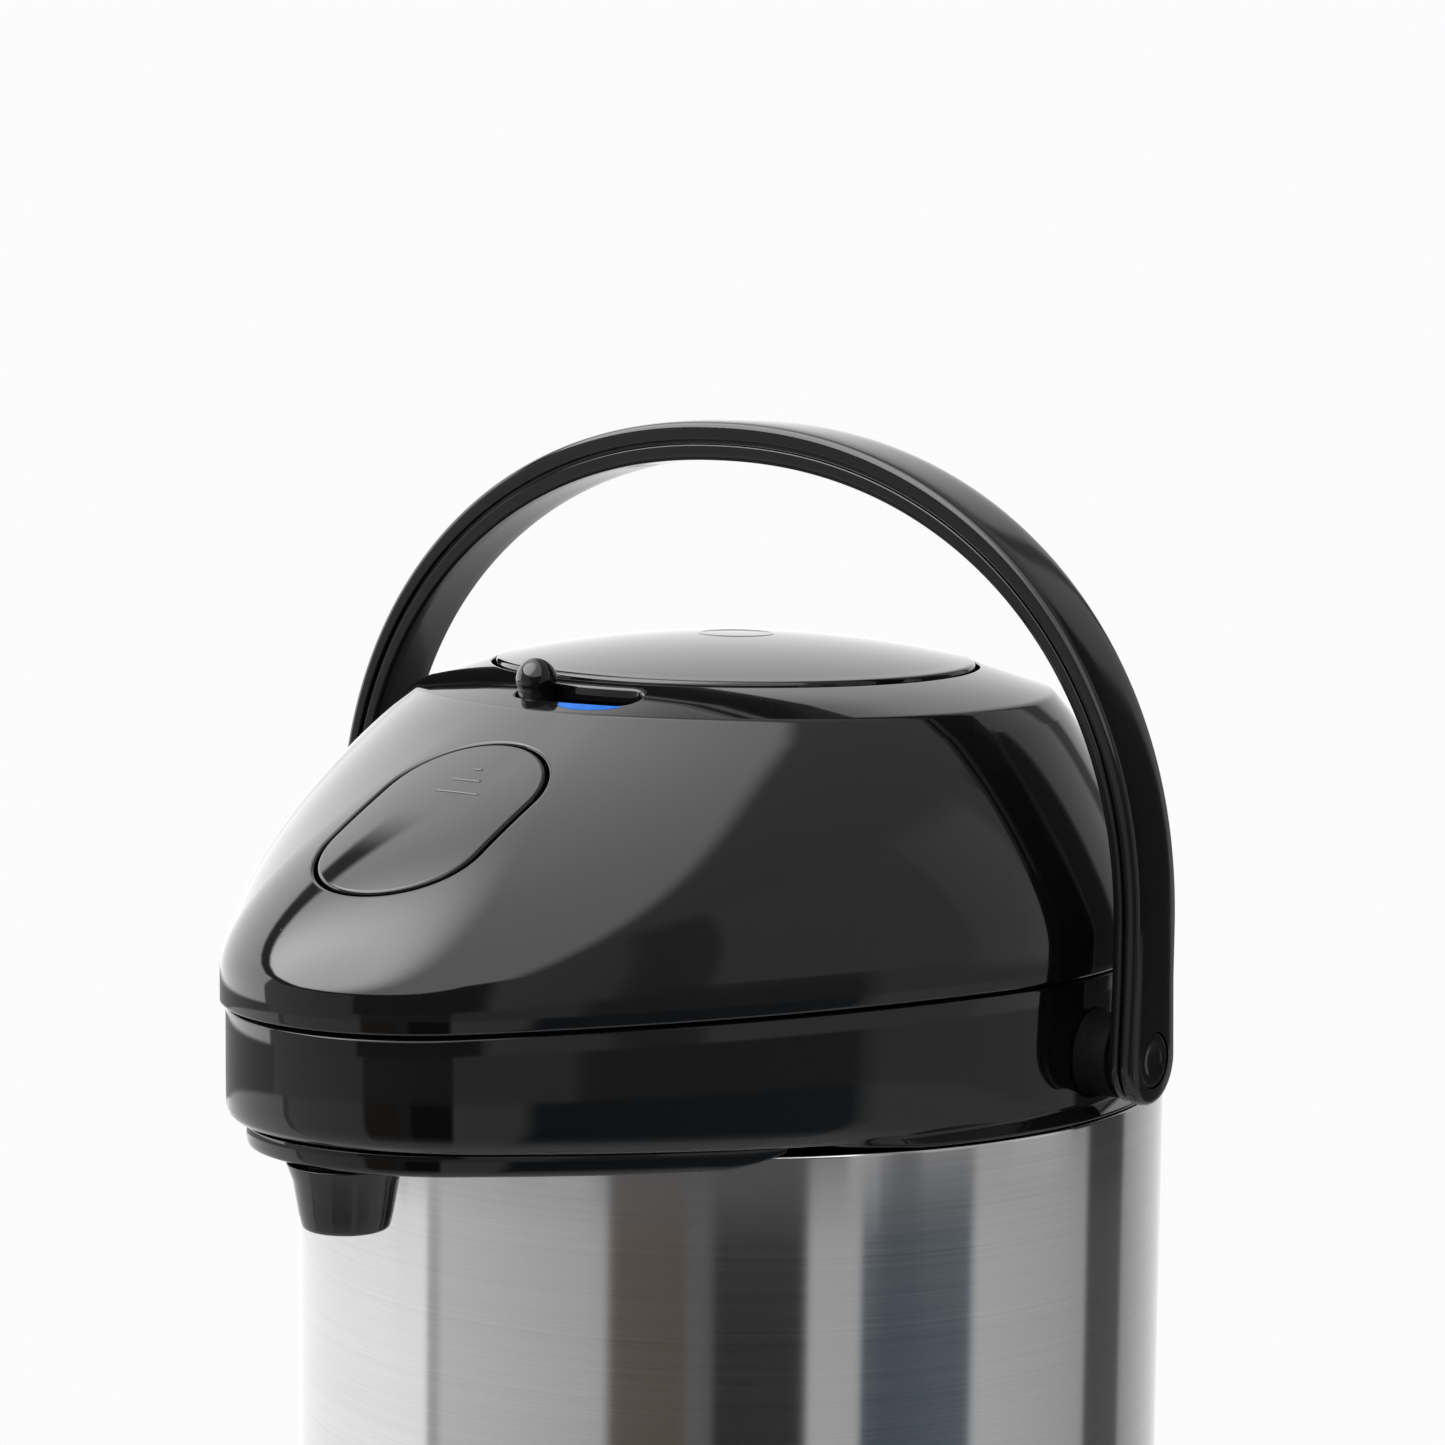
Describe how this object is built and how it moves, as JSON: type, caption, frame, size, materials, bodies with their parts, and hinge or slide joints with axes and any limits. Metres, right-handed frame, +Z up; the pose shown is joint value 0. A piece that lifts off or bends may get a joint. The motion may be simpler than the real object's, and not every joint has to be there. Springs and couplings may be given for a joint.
{
  "type": "thermal coffee airpot",
  "caption": "Steel vacuum pump pot with a glossy black pump lid, spout collar, lock slide, lid latch and a swinging bail handle, on a swivel base.",
  "frame": {"origin": "centre of the foot pad's underside, on the surface the pot stands on", "axes": "+Z up; the spout points along -Y; the handle's pivot axis runs along X"},
  "size_m": [0.1824, 0.2159, 0.411],
  "materials": {
    "gloss_black": "high gloss moulded plastic",
    "satin_black": "semi-gloss moulded plastic",
    "grey_plastic": "matte moulded plastic",
    "blue_plastic": "smooth blue inlay",
    "silicone": "translucent silicone, modelled opaque",
    "rubber": "matte rubber",
    "brushed_steel": "fine brushing around the body",
    "bright_steel": "bright stainless steel"
  },
  "bodies": {
    "pot": {"swivel_bearing": "bright_steel", "swivel_bolt": "bright_steel", "base_cup": "satin_black", "base_screw_1": "bright_steel", "base_screw_2": "bright_steel", "base_screw_3": "bright_steel", "liner_pad": "rubber", "steel_jacket": "brushed_steel", "jacket_crown": "brushed_steel", "liner_bottom": "bright_steel", "liner_wall": "bright_steel", "liner_shoulder": "bright_steel", "liner_neck": "bright_steel", "neck_ring_nut": "grey_plastic", "neck_gasket": "silicone", "shoulder_collar": "gloss_black", "spout_cover": "gloss_black", "nozzle_tip": "gloss_black", "outlet_pipe": "silicone", "riser_tube": "silicone", "valve_housing": "grey_plastic", "mouth_plug": "grey_plastic", "plug_o_ring": "rubber", "pivot_boss_left": "gloss_black", "pivot_boss_right": "gloss_black", "pivot_pin_left": "satin_black", "pivot_pin_right": "satin_black"},
    "foot": {"foot_pad": "rubber", "swivel_plate": "satin_black"},
    "handle": {"bail_handle": "satin_black"},
    "lid": {"lid_dome": "gloss_black", "lock_marker": "blue_plastic", "lid_tray": "grey_plastic", "tray_screw_1": "bright_steel", "tray_screw_2": "bright_steel", "tray_screw_3": "bright_steel", "tray_screw_4": "bright_steel", "lid_gasket": "silicone", "air_valve_flap": "rubber", "bellows_ring": "grey_plastic", "pump_bellows": "silicone", "pump_spring": "bright_steel", "latch_spring": "bright_steel", "latch_axle": "bright_steel", "hinge_pin": "bright_steel"},
    "plunger": {"push_plate": "gloss_black"},
    "lock": {"lock_ring": "satin_black", "lock_knob": "satin_black"},
    "latch_button": {"latch_button": "gloss_black"},
    "latch_lever": {"latch_lever": "satin_black"},
    "check_ball": {"check_ball": "bright_steel"}
  },
  "joints": [
    {"name": "base_swivel", "type": "hinge", "parent": "pot", "child": "foot", "pos_m": [0, 0, 0], "axis": [0, 0, 1], "continuous": true},
    {"name": "handle_swing", "type": "hinge", "parent": "pot", "child": "handle", "pos_m": [0, 0, 0.3], "axis": [-1, 0, 0], "range_deg": [-58, 95]},
    {"name": "lid_hinge", "type": "hinge", "parent": "pot", "child": "lid", "pos_m": [0, 0.0835, 0.311], "axis": [-1, 0, 0], "range_deg": [0, 13]},
    {"name": "pump_press", "type": "slide", "parent": "lid", "child": "plunger", "axis": [0, 0, -1], "range_m": [0, 0.03], "stiffness_N_per_m": 900, "springref_m": -0.012, "deforming": ["pump_bellows", "pump_spring"]},
    {"name": "lock_turn", "type": "hinge", "parent": "lid", "child": "lock", "pos_m": [0, 0, 0.353], "axis": [0, 0, 1], "range_deg": [0, 19.4]},
    {"name": "latch_press", "type": "slide", "parent": "lid", "child": "latch_button", "axis": [0, 0.4384, -0.8988], "range_m": [0, 0.003], "stiffness_N_per_m": 900, "springref_m": -0.003, "deforming": ["latch_spring"]},
    {"name": "latch_release", "type": "hinge", "parent": "lid", "child": "latch_lever", "pos_m": [0, -0.114, 0.321], "axis": [1, 0, 0], "range_deg": [0, 8]},
    {"name": "check_lift", "type": "slide", "parent": "pot", "child": "check_ball", "axis": [0, 0, 1], "range_m": [0, 0.0012]}
  ],
  "couplings": [
    {"joint": "latch_release", "follows": "latch_press", "rad_per_m": 46.5}
  ]
}
